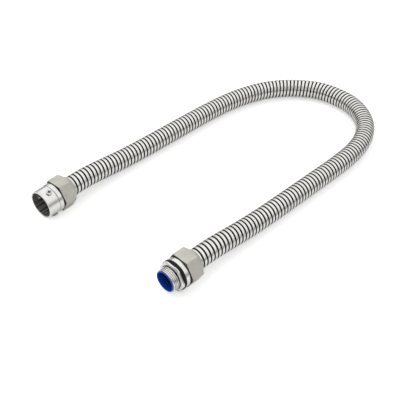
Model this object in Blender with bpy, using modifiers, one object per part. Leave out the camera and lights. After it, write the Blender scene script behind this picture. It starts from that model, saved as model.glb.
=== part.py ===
"""Flexible metal conduit: a strip-wound stainless hose bent into a U, with a connector on each end.

One connector has a threaded spigot with a lock nut, a rubber washer and a blue throat bush, for a
hole in a box or panel. The other has a collar with three set screws, for the end of a rigid conduit.
The hose is clamped in both by a hexagonal compression nut, a sealing ring and a ferrule.
Metres, +Z up. The origin lies on the floor, midway between the two connectors.
"""
import math

import bmesh
import bpy
import numpy as np
from mathutils import Matrix

# Clearances between pieces that touch on the real object
GAP = 0.0003

# Hose
HOSE_OD = 0.0250
HOSE_ID = 0.0206
TURN_PITCH = 0.0054
GROOVE_DEPTH = 0.0009
BORE_STEP = 0.0150

# Where the two connectors lie: their mouths on the floor plan, and how far each is turned
COLLAR_MOUTH = (-0.0330, 0.0940)
COLLAR_YAW = math.radians(4.0)
SPIGOT_MOUTH = (-0.0120, -0.0960)
SPIGOT_YAW = 0.0

# Free run of the hose between the connectors, chosen by hand from the collar end: centre points.
# It leaves both nuts level, settles onto the floor, and bends through half a turn at the far end.
FREE_ROUTE = [
    (0.0380, 0.0988, 0.0174), (0.0660, 0.0994, 0.0153), (0.0960, 0.0993, 0.0133),
    (0.1300, 0.0990, 0.0126), (0.1700, 0.0989, 0.0126), (0.2130, 0.0989, 0.0126),
    (0.2400, 0.0986, 0.0126), (0.2670, 0.0975, 0.0126), (0.2940, 0.0948, 0.0126),
    (0.3200, 0.0893, 0.0126), (0.3460, 0.0800, 0.0126), (0.3690, 0.0657, 0.0126),
    (0.3880, 0.0467, 0.0126), (0.4020, 0.0233, 0.0126), (0.4070, -0.0030, 0.0126),
    (0.4050, -0.0297, 0.0126), (0.3940, -0.0544, 0.0126), (0.3760, -0.0744, 0.0126),
    (0.3530, -0.0883, 0.0126), (0.3270, -0.0964, 0.0126), (0.3000, -0.0997, 0.0126),
    (0.2730, -0.1005, 0.0126), (0.2350, -0.1002, 0.0126), (0.1950, -0.0997, 0.0126),
    (0.1550, -0.0990, 0.0126), (0.1180, -0.0981, 0.0133), (0.0880, -0.0972, 0.0153),
    (0.0600, -0.0963, 0.0174),
]

# Compression nut, the same on both connectors
NUT_FLATS = 0.0360
NUT_LENGTH = 0.0220
NUT_HEX_LENGTH = 0.0182
NUT_FACE_D = 0.0385
NUT_FACE_CHAMFER = 0.0008
NUT_REAR_D = 0.0330
NUT_REAR_CHAMFER = 0.0034
NUT_NOSE_WALL = 0.0007
NUT_SHOULDER = 0.0061
NUT_STANDOFF = 0.0013

# Rear boss of both bodies, which the nut screws onto
BOSS_WALL = 0.0027
BOSS_LENGTH = 0.0124
HOSE_SEAT_DEPTH = 0.0081
LAND_D = 0.0220

# Sealing ring and ferrule, the same on both connectors
SEAL_NOSE_WALL = 0.0014
SEAL_TAPER = 0.0016
FERRULE_WALL = 0.0008
FERRULE_FLANGE = 0.0010
FERRULE_LENGTH = 0.0160

# Spigot connector
THREAD_D = 0.0270
SPIGOT_LENGTH = 0.0145
SPIGOT_CHAMFER = 0.0008
THROAT_D = 0.0246
THROAT_DEPTH = 0.0125
FLANGE_D = 0.0354
FLANGE_THICK = 0.0050
FLANGE_EDGE = 0.0006
BUSH_BORE_D = 0.0226
BUSH_LIP_D = 0.0250
BUSH_LIP = 0.0008
WASHER_D = 0.0358
WASHER_THICK = 0.0036
LOCKNUT_FLATS = 0.0338
LOCKNUT_CORNER_D = 0.0368
LOCKNUT_THICK = 0.0022
LOCKNUT_FACE_D = 0.0326
LOCKNUT_CHAMFER = 0.0011

# Collar connector
COLLAR_D = 0.0350
COLLAR_BORE_D = 0.0313
COLLAR_DEPTH = 0.0180
COLLAR_EDGE = 0.0004
RING_D = 0.0358
RING_WIDTH = 0.0052
COLLAR_LENGTH = 0.0206
SCREW_ANGLES = (112.0, 232.0, 352.0)
SCREW_FROM_MOUTH = 0.0097
SCREW_D = 0.0040
SCREW_HEAD_D = 0.0072
SCREW_HEAD = 0.0022
SCREW_HEAD_SIDE = 0.0010
SCREW_CROWN_D = 0.0034
SCREW_REACH = 0.0024
SCREW_POINT_D = 0.0024
SCREW_POINT = 0.0008
RECESS_WIDTH = 0.0011
RECESS_SPAN = 0.0042
RECESS_DEPTH = 0.0012

# Faceting, and how far cutters run past what they cut
OUTER_STEPS = 36
INNER_STEPS = 28
SCREW_STEPS = 16
HOSE_SIDES = 12
DOME_SHARES = (0.45, 0.80, 1.0)
SPLINE_SAMPLES = 4000
MERGE = 0.00001
CUTTER_MARGIN = 0.0020

AXIS_HEIGHT = NUT_FLATS / 2
ROOM_FOR_HOSE_D = HOSE_OD + 2 * GAP

STAINLESS = ((0.80, 0.79, 0.77, 1.0), 0.22, 1.0)
NICKEL = ((0.86, 0.85, 0.83, 1.0), 0.16, 1.0)
CAST_ALLOY = ((0.52, 0.51, 0.47, 1.0), 0.45, 1.0)
BLUE_PLASTIC = ((0.01, 0.05, 0.42, 1.0), 0.35, 0.0)
BLACK_RUBBER = ((0.012, 0.012, 0.012, 1.0), 0.60, 0.0)
WHITE_NYLON = ((0.80, 0.79, 0.74, 1.0), 0.50, 0.0)
GREY_STEEL = ((0.60, 0.60, 0.60, 1.0), 0.35, 1.0)


for old in list(bpy.data.objects):
    bpy.data.objects.remove(old, do_unlink=True)

conduit = bpy.data.collections.new("flexible_metal_conduit")
cutters = bpy.data.collections.new("cutters")
bpy.context.scene.collection.children.link(conduit)
bpy.context.scene.collection.children.link(cutters)


def finish(obj, look):
    """Give a sub-part its own Principled material: colour, roughness and metallic value."""
    colour, roughness, metallic = look
    material = bpy.data.materials.new(obj.name)
    material.use_nodes = True
    shader = material.node_tree.nodes["Principled BSDF"]
    shader.inputs["Base Color"].default_value = colour
    shader.inputs["Roughness"].default_value = roughness
    shader.inputs["Metallic"].default_value = metallic
    obj.data.materials.append(material)


def connector_frame(mouth, yaw):
    """Local +Z runs from a connector's mouth towards the hose, and local -X points up."""
    at_mouth = Matrix.Translation((mouth[0], mouth[1], AXIS_HEIGHT))
    return at_mouth @ Matrix.Rotation(yaw, 4, "Z") @ Matrix.Rotation(math.pi / 2, 4, "Y")


def as_cutter(obj):
    obj.hide_render = True
    obj.display_type = "WIRE"
    return obj


def turned(name, outer, bore, frame, steps):
    """Turn a closed section about local Z. outer and bore list (depth, diameter) from the mouth in."""
    rim = list(reversed(outer)) + list(bore)
    mesh = bpy.data.meshes.new(name)
    mesh.from_pydata(
        [(diameter / 2, 0.0, depth) for depth, diameter in rim],
        [(i, (i + 1) % len(rim)) for i in range(len(rim))],
        [],
    )
    obj = bpy.data.objects.new(name, mesh)
    conduit.objects.link(obj)
    obj.matrix_world = frame
    spin = obj.modifiers.new("turn", "SCREW")
    spin.axis = "Z"
    spin.angle = 2 * math.pi
    spin.steps = steps
    spin.render_steps = steps
    spin.use_merge_vertices = True
    spin.merge_threshold = MERGE
    spin.use_smooth_shade = False
    return obj


def round_cutter(name, diameter, low, high, frame, steps):
    """A plain cylinder about local Z, from low to high."""
    form = bmesh.new()
    place = Matrix.Translation((0.0, 0.0, (low + high) / 2))
    bmesh.ops.create_cone(
        form, cap_ends=True, segments=steps, radius1=diameter / 2, radius2=diameter / 2,
        depth=high - low, matrix=place,
    )
    mesh = bpy.data.meshes.new(name)
    form.to_mesh(mesh)
    form.free()
    obj = bpy.data.objects.new(name, mesh)
    cutters.objects.link(obj)
    obj.matrix_world = frame
    return as_cutter(obj)


def across_corners(flats):
    """Diameter over the corners of a hexagon."""
    return flats / math.cos(math.pi / 6)


def hexagon_cutter(name, flats, front, back, frame):
    """A six-sided bar about local Z, past both faces, with one flat facing up and another down."""
    low = front - CUTTER_MARGIN
    high = back + CUTTER_MARGIN
    return round_cutter(name, across_corners(flats), low, high, frame, 6)


def block_cutter(name, size, centre, frame):
    """A plain box of the given size about a centre, in local axes."""
    form = bmesh.new()
    place = Matrix.Translation(centre) @ Matrix.Diagonal((*size, 1.0))
    bmesh.ops.create_cube(form, size=1.0, matrix=place)
    mesh = bpy.data.meshes.new(name)
    form.to_mesh(mesh)
    form.free()
    obj = bpy.data.objects.new(name, mesh)
    cutters.objects.link(obj)
    obj.matrix_world = frame
    return as_cutter(obj)


def boolean(obj, tool, operation):
    step = obj.modifiers.new(tool.name, "BOOLEAN")
    step.operation = operation
    step.solver = "EXACT"
    step.object = tool


def domed(start, end, start_d, end_d):
    """Quarter-ellipse outline from a straight side at start to a narrower face at end."""
    outline = []
    for share in DOME_SHARES:
        narrowing = 1 - math.sqrt(1 - share * share)
        outline.append((start + share * (end - start), start_d - narrowing * (start_d - end_d)))
    return outline


# The sealing ring is as wide as the boss, because both lie in the nut's one bore
BOSS_D = ROOM_FOR_HOSE_D + 2 * BOSS_WALL

# Depths from the mouth that the pieces share
SHOULDER = COLLAR_LENGTH
NUT_FRONT = SHOULDER + NUT_STANDOFF
NUT_BACK = NUT_FRONT + NUT_LENGTH
BOSS_BACK = SHOULDER + BOSS_LENGTH
SEAT = BOSS_BACK - HOSE_SEAT_DEPTH
FERRULE_FRONT = SEAT - FERRULE_FLANGE - GAP
LAND_BACK = FERRULE_FRONT - GAP
SEAL_BACK = NUT_BACK - NUT_SHOULDER - GAP
SEAL_FRONT = BOSS_BACK + GAP
FLANGE_FRONT = SHOULDER - FLANGE_THICK
SPIGOT_FRONT = FLANGE_FRONT - SPIGOT_LENGTH


def rear_of_body():
    """Section behind the shoulder: the boss, the hose's seat and the land that the ferrule meets."""
    outer = [(SHOULDER, BOSS_D), (BOSS_BACK, BOSS_D)]
    bore = [(LAND_BACK, LAND_D), (LAND_BACK, ROOM_FOR_HOSE_D), (BOSS_BACK, ROOM_FOR_HOSE_D)]
    return outer, bore


def compression_nut(name, frame):
    """Hexagonal nut: corners just broken in front, well chamfered behind, then a tapered nose."""
    nose_start = NUT_FRONT + NUT_HEX_LENGTH
    turned_d = across_corners(NUT_FLATS) + 2 * GAP
    outer = [
        (NUT_FRONT, NUT_FACE_D), (NUT_FRONT + NUT_FACE_CHAMFER, turned_d),
        (nose_start - NUT_REAR_CHAMFER, turned_d), (nose_start, NUT_REAR_D),
        (NUT_BACK, ROOM_FOR_HOSE_D + 2 * NUT_NOSE_WALL),
    ]
    shoulder = NUT_BACK - NUT_SHOULDER
    bore = [
        (NUT_FRONT, BOSS_D + 2 * GAP), (shoulder, BOSS_D + 2 * GAP),
        (shoulder, ROOM_FOR_HOSE_D), (NUT_BACK, ROOM_FOR_HOSE_D),
    ]
    nut = turned(name, outer, bore, frame, OUTER_STEPS)
    flats = hexagon_cutter(name + "_flats", NUT_FLATS, NUT_FRONT, NUT_BACK, frame)
    boolean(nut, flats, "INTERSECT")
    finish(nut, CAST_ALLOY)


def sealing_ring(name, frame):
    """Nylon ring round the hose, squeezed between the body's boss and the nut's shoulder."""
    outer = [
        (SEAL_FRONT, ROOM_FOR_HOSE_D + 2 * SEAL_NOSE_WALL), (SEAL_FRONT + SEAL_TAPER, BOSS_D),
        (SEAL_BACK, BOSS_D),
    ]
    bore = [(SEAL_FRONT, ROOM_FOR_HOSE_D), (SEAL_BACK, ROOM_FOR_HOSE_D)]
    finish(turned(name, outer, bore, frame, INNER_STEPS), WHITE_NYLON)


def ferrule(name, frame):
    """Steel sleeve pushed into the hose, with a flange that covers the hose's cut end."""
    sleeve_d = HOSE_ID - 2 * GAP
    sleeve_end = FERRULE_FRONT + FERRULE_LENGTH
    bore_d = sleeve_d - 2 * FERRULE_WALL
    flange_back = FERRULE_FRONT + FERRULE_FLANGE
    outer = [
        (FERRULE_FRONT, HOSE_OD), (flange_back, HOSE_OD), (flange_back, sleeve_d),
        (sleeve_end, sleeve_d),
    ]
    bore = [(FERRULE_FRONT, bore_d), (sleeve_end, bore_d)]
    finish(turned(name, outer, bore, frame, INNER_STEPS), GREY_STEEL)


def spigot_connector(frame):
    """Threaded body, lock nut, rubber washer and throat bush."""
    rear_outer, rear_bore = rear_of_body()
    outer = [
        (SPIGOT_FRONT, THREAD_D - 2 * SPIGOT_CHAMFER), (SPIGOT_FRONT + SPIGOT_CHAMFER, THREAD_D),
        (FLANGE_FRONT, THREAD_D), (FLANGE_FRONT, FLANGE_D - 2 * FLANGE_EDGE),
        (FLANGE_FRONT + FLANGE_EDGE, FLANGE_D), (SHOULDER - FLANGE_EDGE, FLANGE_D),
        (SHOULDER, FLANGE_D - 2 * FLANGE_EDGE),
    ]
    throat_end = SPIGOT_FRONT + THROAT_DEPTH
    bore = [(SPIGOT_FRONT, THROAT_D), (throat_end, THROAT_D), (throat_end, LAND_D)]
    body = turned("threaded_body", outer + rear_outer, bore + rear_bore, frame, OUTER_STEPS)
    finish(body, NICKEL)

    lip_front = SPIGOT_FRONT - GAP - BUSH_LIP
    sleeve_d = THROAT_D - 2 * GAP
    sleeve_end = throat_end - GAP
    lip_round = BUSH_LIP / 2
    bush_outer = [
        (lip_front, BUSH_LIP_D - 2 * lip_round), (lip_front + lip_round, BUSH_LIP_D),
        (lip_front + BUSH_LIP, BUSH_LIP_D), (lip_front + BUSH_LIP, sleeve_d),
        (sleeve_end, sleeve_d),
    ]
    bush_bore = [
        (lip_front, BUSH_BORE_D + 2 * lip_round), (lip_front + BUSH_LIP, BUSH_BORE_D),
        (sleeve_end, BUSH_BORE_D),
    ]
    bush = turned("insulating_bush", bush_outer, bush_bore, frame, OUTER_STEPS)
    finish(bush, BLUE_PLASTIC)

    washer_front = FLANGE_FRONT - GAP - WASHER_THICK
    washer_back = FLANGE_FRONT - GAP
    washer_round = WASHER_THICK / 4
    ring_bore_d = THREAD_D + 2 * GAP
    washer_outer = [
        (washer_front, WASHER_D - 2 * washer_round), (washer_front + washer_round, WASHER_D),
        (washer_back - washer_round, WASHER_D), (washer_back, WASHER_D - 2 * washer_round),
    ]
    washer_bore = [(washer_front, ring_bore_d), (washer_back, ring_bore_d)]
    washer = turned("sealing_washer", washer_outer, washer_bore, frame, OUTER_STEPS)
    finish(washer, BLACK_RUBBER)

    nut_back = washer_front - GAP
    nut_front = nut_back - LOCKNUT_THICK
    nut_outer = [
        (nut_front, LOCKNUT_FACE_D), (nut_front + LOCKNUT_CHAMFER, LOCKNUT_CORNER_D),
        (nut_back, LOCKNUT_CORNER_D),
    ]
    nut_bore = [(nut_front, ring_bore_d), (nut_back, ring_bore_d)]
    lock_nut = turned("lock_nut", nut_outer, nut_bore, frame, OUTER_STEPS)
    flats = hexagon_cutter("lock_nut_flats", LOCKNUT_FLATS, nut_front, nut_back, frame)
    boolean(lock_nut, flats, "INTERSECT")
    finish(lock_nut, NICKEL)


def radial_frame(frame, depth, angle):
    """Local +Z points out of the collar. angle is in degrees from the +Y side, over the top."""
    turn = Matrix.Rotation(math.radians(angle + 90.0), 4, "Z")
    return frame @ Matrix.Translation((0.0, 0.0, depth)) @ turn @ Matrix.Rotation(math.pi / 2, 4, "Y")


def set_screw(name, frame, angle):
    """Pan-head screw with a crossed recess, standing on the collar and reaching into its bore."""
    place = radial_frame(frame, SCREW_FROM_MOUTH, angle)
    seat = COLLAR_D / 2 + GAP
    crown = seat + SCREW_HEAD
    tip = COLLAR_BORE_D / 2 - SCREW_REACH
    side = seat + SCREW_HEAD_SIDE
    shank = [(tip, SCREW_POINT_D), (tip + SCREW_POINT, SCREW_D), (seat, SCREW_D)]
    head = [(seat, SCREW_HEAD_D), (side, SCREW_HEAD_D)]
    dome = domed(side, crown, SCREW_HEAD_D, SCREW_CROWN_D)
    screw = turned(name, shank + head + dome, [(tip, 0.0), (crown, 0.0)], place, SCREW_STEPS)
    for index, size in enumerate(((RECESS_SPAN, RECESS_WIDTH), (RECESS_WIDTH, RECESS_SPAN))):
        depth = 2 * RECESS_DEPTH
        slot = block_cutter(f"{name}_recess_{index}", (*size, depth), (0.0, 0.0, crown), place)
        boolean(screw, slot, "DIFFERENCE")
    finish(screw, GREY_STEEL)


def collar_connector(frame):
    """Plain collar with a stop inside it, a raised ring behind, and three set screws."""
    rear_outer, rear_bore = rear_of_body()
    ring_front = COLLAR_LENGTH - RING_WIDTH
    outer = [
        (0.0, COLLAR_D - 2 * COLLAR_EDGE), (COLLAR_EDGE, COLLAR_D), (ring_front, COLLAR_D),
        (ring_front + (RING_D - COLLAR_D) / 2, RING_D), (SHOULDER - COLLAR_EDGE, RING_D),
        (SHOULDER, RING_D - 2 * COLLAR_EDGE),
    ]
    bore = [(0.0, COLLAR_BORE_D), (COLLAR_DEPTH, COLLAR_BORE_D), (COLLAR_DEPTH, LAND_D)]
    collar = turned("screw_collar", outer + rear_outer, bore + rear_bore, frame, OUTER_STEPS)
    for index, angle in enumerate(SCREW_ANGLES):
        place = radial_frame(frame, SCREW_FROM_MOUTH, angle)
        hole = round_cutter(
            f"screw_hole_{index}", SCREW_D + 2 * GAP, COLLAR_BORE_D / 4, COLLAR_D, place, SCREW_STEPS
        )
        boolean(collar, hole, "DIFFERENCE")
        set_screw(f"set_screw_{index + 1}", frame, angle)
    finish(collar, NICKEL)


def smooth_run(points, spacing):
    """Natural cubic spline through points, returned at even steps of about the given spacing."""
    knots = np.array(points)
    span = np.linalg.norm(np.diff(knots, axis=0), axis=1)
    along = np.concatenate(([0.0], np.cumsum(span)))
    count = len(knots)
    system = np.eye(count)
    right = np.zeros_like(knots)
    for i in range(1, count - 1):
        before, after = span[i - 1], span[i]
        system[i, i - 1:i + 2] = (before, 2 * (before + after), after)
        rise = (knots[i + 1] - knots[i]) / after - (knots[i] - knots[i - 1]) / before
        right[i] = 6 * rise
    bend = np.linalg.solve(system, right)

    def at(where):
        i = np.clip(np.searchsorted(along, where) - 1, 0, count - 2)
        h = span[i][:, None]
        a = (along[i + 1] - where)[:, None] / h
        b = 1 - a
        curl = (a ** 3 - a) * bend[i] + (b ** 3 - b) * bend[i + 1]
        return a * knots[i] + b * knots[i + 1] + curl * h ** 2 / 6

    samples = np.linspace(0.0, along[-1], SPLINE_SAMPLES)
    fine = at(samples)
    length = np.concatenate(([0.0], np.cumsum(np.linalg.norm(np.diff(fine, axis=0), axis=1))))
    steps = 2 * round(length[-1] / (2 * spacing))
    return at(np.interp(np.linspace(0.0, length[-1], steps + 1), length, samples))


def tube(name, centres, diameters):
    """A mesh tube through the centres, with a diameter at each one and closed ends."""
    curve = bpy.data.curves.new(name, "CURVE")
    curve.dimensions = "3D"
    curve.bevel_depth = HOSE_OD / 2
    curve.bevel_resolution = (HOSE_SIDES - 4) // 2
    curve.use_fill_caps = True
    spline = curve.splines.new("POLY")
    spline.points.add(len(centres) - 1)
    for point, centre, diameter in zip(spline.points, centres, diameters):
        point.co = (*centre, 1.0)
        point.radius = diameter / HOSE_OD
    guide = bpy.data.objects.new(name, curve)
    cutters.objects.link(guide)
    evaluated = guide.evaluated_get(bpy.context.evaluated_depsgraph_get())
    mesh = bpy.data.meshes.new_from_object(evaluated)
    mesh.name = name
    form = bmesh.new()
    form.from_mesh(mesh)
    bmesh.ops.remove_doubles(form, verts=form.verts, dist=MERGE)
    form.to_mesh(mesh)
    form.free()
    place = guide.matrix_world.copy()
    bpy.data.objects.remove(guide)
    obj = bpy.data.objects.new(name, mesh)
    obj.matrix_world = place
    return obj


def hose(collar_frame, spigot_frame):
    """Strip-wound hose: one ridge for each turn of the strip outside, and a plain bore through it."""
    ends = []
    for frame in (collar_frame, spigot_frame):
        seated = frame @ Matrix.Translation((0.0, 0.0, SEAT))
        leaving = frame @ Matrix.Translation((0.0, 0.0, NUT_BACK))
        ends.append((tuple(seated.translation), tuple(leaving.translation)))
    knots = [ends[0][0], ends[0][1], *FREE_ROUTE, ends[1][1], ends[1][0]]

    centres = smooth_run(knots, TURN_PITCH / 2)
    groove_d = HOSE_OD - 2 * GROOVE_DEPTH
    diameters = [HOSE_OD if i % 2 else groove_d for i in range(len(centres))]
    body = tube("conduit_hose", centres, diameters)
    conduit.objects.link(body)

    bore_d = HOSE_ID / math.cos(math.pi / HOSE_SIDES)
    core = smooth_run(knots, BORE_STEP)
    for end, inner in ((0, 1), (-1, -2)):
        outwards = core[end] - core[inner]
        core[end] += outwards / np.linalg.norm(outwards) * CUTTER_MARGIN
    bore = tube("hose_bore", core, [bore_d] * len(core))
    cutters.objects.link(bore)
    as_cutter(bore)
    boolean(body, bore, "DIFFERENCE")
    finish(body, STAINLESS)


collar_frame = connector_frame(COLLAR_MOUTH, COLLAR_YAW)
spigot_frame = connector_frame(SPIGOT_MOUTH, SPIGOT_YAW)
collar_connector(collar_frame)
spigot_connector(spigot_frame)
for end, frame in (("collar_end", collar_frame), ("thread_end", spigot_frame)):
    compression_nut(end + "_nut", frame)
    sealing_ring(end + "_seal_ring", frame)
    ferrule(end + "_ferrule", frame)
hose(collar_frame, spigot_frame)
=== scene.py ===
"""Flexible metal conduit: the finish of every piece, from the hose outwards to its two connectors.

The hose is strip-wound stainless steel, bent into a U. One end has a collar with set screws, and the
other a threaded spigot with a lock nut, a rubber washer and a blue bush. Metres, +Z up.
"""
import math

import bmesh
import bpy
import numpy as np
from mathutils import Euler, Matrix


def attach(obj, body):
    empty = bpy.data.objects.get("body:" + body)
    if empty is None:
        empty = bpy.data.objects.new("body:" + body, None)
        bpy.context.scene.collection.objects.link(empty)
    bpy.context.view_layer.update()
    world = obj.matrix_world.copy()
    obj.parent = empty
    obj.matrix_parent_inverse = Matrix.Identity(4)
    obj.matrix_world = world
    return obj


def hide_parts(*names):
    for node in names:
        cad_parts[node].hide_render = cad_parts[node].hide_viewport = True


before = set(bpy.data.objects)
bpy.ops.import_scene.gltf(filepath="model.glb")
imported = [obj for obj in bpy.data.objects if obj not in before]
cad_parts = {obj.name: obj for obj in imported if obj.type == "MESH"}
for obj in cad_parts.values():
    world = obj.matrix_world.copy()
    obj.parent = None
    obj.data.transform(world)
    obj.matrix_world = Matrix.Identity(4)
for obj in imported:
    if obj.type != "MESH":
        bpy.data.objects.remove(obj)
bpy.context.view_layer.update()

# Camera: it stands beyond the two open ends, out on the threaded one's side, and looks down slantwise
# across the U.
CAMERA_AT = (-0.3267, -0.4642, 0.5500)
CAMERA_DOWN = math.radians(41.0)
CAMERA_HEADING = math.radians(44.85)
CAMERA_LENS = 62.1
CAMERA_SENSOR = 36.0

camera_data = bpy.data.cameras.new("camera")
camera_data.lens = CAMERA_LENS
camera_data.sensor_width = CAMERA_SENSOR
camera = bpy.data.objects.new("camera", camera_data)
camera.location = CAMERA_AT
camera.rotation_euler = Euler((math.pi / 2 - CAMERA_DOWN, 0.0, -CAMERA_HEADING))
bpy.context.scene.collection.objects.link(camera)
bpy.context.scene.camera = camera
bpy.context.scene.view_settings.view_transform = "Standard"


# Hose: one stainless strip rolled to a stepped profile and wound round and round, each turn locked
# into the last. Outside it shows a bright crest with a fine seam, and a groove, for each turn; the
# groove, the seam, the cut ends and the bore are darkened with painted shade.
# Both ends are seated in the connectors, whose mouths give the places of everything else.
HOSE_OD = 0.0250
HOSE_BORE = 0.0206
TURN_PITCH = 0.0054
HOSE_SIDES = 36
HOSE_END_DEPTH = 0.0249
NUT_BACK = 0.0439
AXIS_HEIGHT = 0.0180
COLLAR_MOUTH = (-0.0330, 0.0940)
COLLAR_YAW = math.radians(4.0)
SPIGOT_MOUTH = (-0.0120, -0.0960)
SPIGOT_YAW = 0.0
FREE_ROUTE = [
    (0.0380, 0.0988, 0.0174), (0.0660, 0.0994, 0.0153), (0.0960, 0.0993, 0.0133),
    (0.1300, 0.0990, 0.0126), (0.1700, 0.0989, 0.0126), (0.2130, 0.0989, 0.0126),
    (0.2400, 0.0986, 0.0126), (0.2670, 0.0975, 0.0126), (0.2940, 0.0948, 0.0126),
    (0.3200, 0.0893, 0.0126), (0.3460, 0.0800, 0.0126), (0.3690, 0.0657, 0.0126),
    (0.3880, 0.0467, 0.0126), (0.4020, 0.0233, 0.0126), (0.4070, -0.0030, 0.0126),
    (0.4050, -0.0297, 0.0126), (0.3940, -0.0544, 0.0126), (0.3760, -0.0744, 0.0126),
    (0.3530, -0.0883, 0.0126), (0.3270, -0.0964, 0.0126), (0.3000, -0.0997, 0.0126),
    (0.2730, -0.1005, 0.0126), (0.2350, -0.1002, 0.0126), (0.1950, -0.0997, 0.0126),
    (0.1550, -0.0990, 0.0126), (0.1180, -0.0981, 0.0133), (0.0880, -0.0972, 0.0153),
    (0.0600, -0.0963, 0.0174),
]
RIDGE_SHARE = 0.80
RIDGE_POWER = 6.0
RIDGE_ROWS = 12
GROOVE_DEPTH = 0.0010
GROOVE_SHADE_FROM = 0.08
GROOVE_SHADE_TO = 0.34
SEAM_AT = 0.08
SEAM_WIDTH = 0.05
SEAM_FLOOR = 0.3
SEAM_FLANK = 1.4
SEAM_DEPTH = 0.00014
SEAM_SHADE = 0.30
BORE_MIDDLE_SHADE = 0.5
SPLINE_SAMPLES = 4000
LINE_STEPS_A_TURN = 8
TURNS_A_BORE_ROW = 2
SPARE_TURNS = 2
MERGE_DISTANCE = 0.000002
STEEL_BRIGHT = (0.96, 0.95, 0.92, 1.0)
STEEL_WORN = (0.86, 0.85, 0.81, 1.0)
STEEL_STREAK = (0.76, 0.75, 0.71, 1.0)
# Colour of the painted shade in the grooves, the seam, the cut ends and the bore
STEEL_GROOVE_SHADE = (0.010, 0.009, 0.008, 1.0)


def connector_frame(mouth, yaw):
    """Origin at a connector's mouth, then its axis towards the hose, its +Y side and up."""
    axis = (math.cos(yaw), math.sin(yaw), 0.0)
    side = (-math.sin(yaw), math.cos(yaw), 0.0)
    return tuple(np.array(v) for v in ((*mouth, AXIS_HEIGHT), axis, side, (0.0, 0.0, 1.0)))


def place(where, depth, across=0.0, up=0.0):
    """Points of a frame: origin + depth * axis + across * side + up * up, for arrays of any shape."""
    origin, axis, side, top = where
    parts = np.broadcast_arrays(depth, across, up)
    return origin + sum(part[..., None] * arm for part, arm in zip(parts, (axis, side, top)))


def smooth_run(points, spacing):
    """Natural cubic spline through points, by chord length, returned at even steps of about spacing."""
    knots = np.array(points)
    span = np.linalg.norm(np.diff(knots, axis=0), axis=1)
    along = np.concatenate(([0.0], np.cumsum(span)))
    count = len(knots)
    slope = np.diff(knots, axis=0) / span[:, None]
    system = np.eye(count)
    inner = np.arange(1, count - 1)
    system[inner, inner - 1] = span[:-1]
    system[inner, inner] = 2 * (span[:-1] + span[1:])
    system[inner, inner + 1] = span[1:]
    right = np.zeros_like(knots)
    right[1:-1] = 6 * np.diff(slope, axis=0)
    bend = np.linalg.solve(system, right)

    def at(where):
        """In a span of length h, at shares a and b from its ends: a p + b q + curl h^2 / 6.

        p and q are its knots, and curl is (a^3 - a) and (b^3 - b) times the bends there.
        """
        i = np.clip(np.searchsorted(along, where) - 1, 0, count - 2)
        h = span[i][:, None]
        a = (along[i + 1] - where)[:, None] / h
        b = 1 - a
        curl = (a ** 3 - a) * bend[i] + (b ** 3 - b) * bend[i + 1]
        return a * knots[i] + b * knots[i + 1] + curl * h ** 2 / 6

    samples = np.linspace(0.0, along[-1], SPLINE_SAMPLES)
    length = np.concatenate(([0.0], np.cumsum(np.linalg.norm(np.diff(at(samples), axis=0), axis=1))))
    steps = round(length[-1] / spacing)
    return at(np.interp(np.linspace(0.0, length[-1], steps + 1), length, samples))


def quads(numbers):
    """Faces between neighbouring rows and columns of a table of numbers, facing rows x columns."""
    corners = (numbers[:-1, :-1], numbers[1:, :-1], numbers[1:, 1:], numbers[:-1, 1:])
    return np.stack(corners, axis=-1).reshape(-1, 4)


def corner_uv(u, v):
    """A UV pair for each face corner of a grid, from u and v at its points."""
    pairs = np.stack(np.broadcast_arrays(u, v), axis=-1)
    rows, columns = pairs.shape[:2]
    return pairs.reshape(-1, 2)[quads(np.arange(rows * columns).reshape(rows, columns))]


def surface(name, points, faces, uv, masks=None):
    """A smooth mesh from points, four-cornered faces and a UV pair for each face corner.

    Points that meet are merged, so seams and poles close. masks holds named values, one a point.
    """
    mesh = bpy.data.meshes.new(name)
    mesh.from_pydata(points, [], faces.tolist())
    mesh.uv_layers.new(name="UVMap").uv.foreach_set("vector", uv.reshape(-1).astype(np.float32))
    for key, values in (masks or {}).items():
        layer = mesh.attributes.new(key, "FLOAT", "POINT")
        layer.data.foreach_set("value", values.astype(np.float32))
    form = bmesh.new()
    form.from_mesh(mesh)
    bmesh.ops.remove_doubles(form, verts=form.verts, dist=MERGE_DISTANCE)
    stray = [edge for edge in form.edges if not edge.link_faces]
    bmesh.ops.delete(form, geom=stray, context="EDGES")
    form.to_mesh(mesh)
    form.free()
    mesh.shade_smooth()
    piece = bpy.data.objects.new(name, mesh)
    bpy.context.scene.collection.objects.link(piece)
    return piece


def turn_profile():
    """One turn of the strip: share of the pitch, depth below the crest, and shade from 0 to 1.

    At x of the pitch from the ridge's middle the depth is groove depth * |2 x / ridge share|^power, so
    the ridge is flat with round shoulders, and between ridges lies a flat floor. A narrow seam runs
    beside the middle, flat over the middle share of its width that SEAM_FLOOR gives.
    """
    half = RIDGE_SHARE / 2
    seam = SEAM_AT + SEAM_WIDTH * np.array((-1.0, -SEAM_FLOOR, SEAM_FLOOR, 1.0))
    x = half * np.sin(np.linspace(-math.pi / 2, math.pi / 2, RIDGE_ROWS))
    x = np.sort(np.concatenate((x[np.abs(x - SEAM_AT) > SEAM_WIDTH], seam)))
    share_down = np.abs(x / half) ** RIDGE_POWER
    in_seam = np.clip(SEAM_FLANK * (1 - np.abs(x - SEAM_AT) / SEAM_WIDTH), 0.0, 1.0)
    depth = GROOVE_DEPTH * share_down + SEAM_DEPTH * in_seam
    shade = (share_down - GROOVE_SHADE_FROM) / (GROOVE_SHADE_TO - GROOVE_SHADE_FROM)
    return 0.5 + x, depth, np.clip(np.maximum(shade, SEAM_SHADE * in_seam), 0.0, 1.0)


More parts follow.
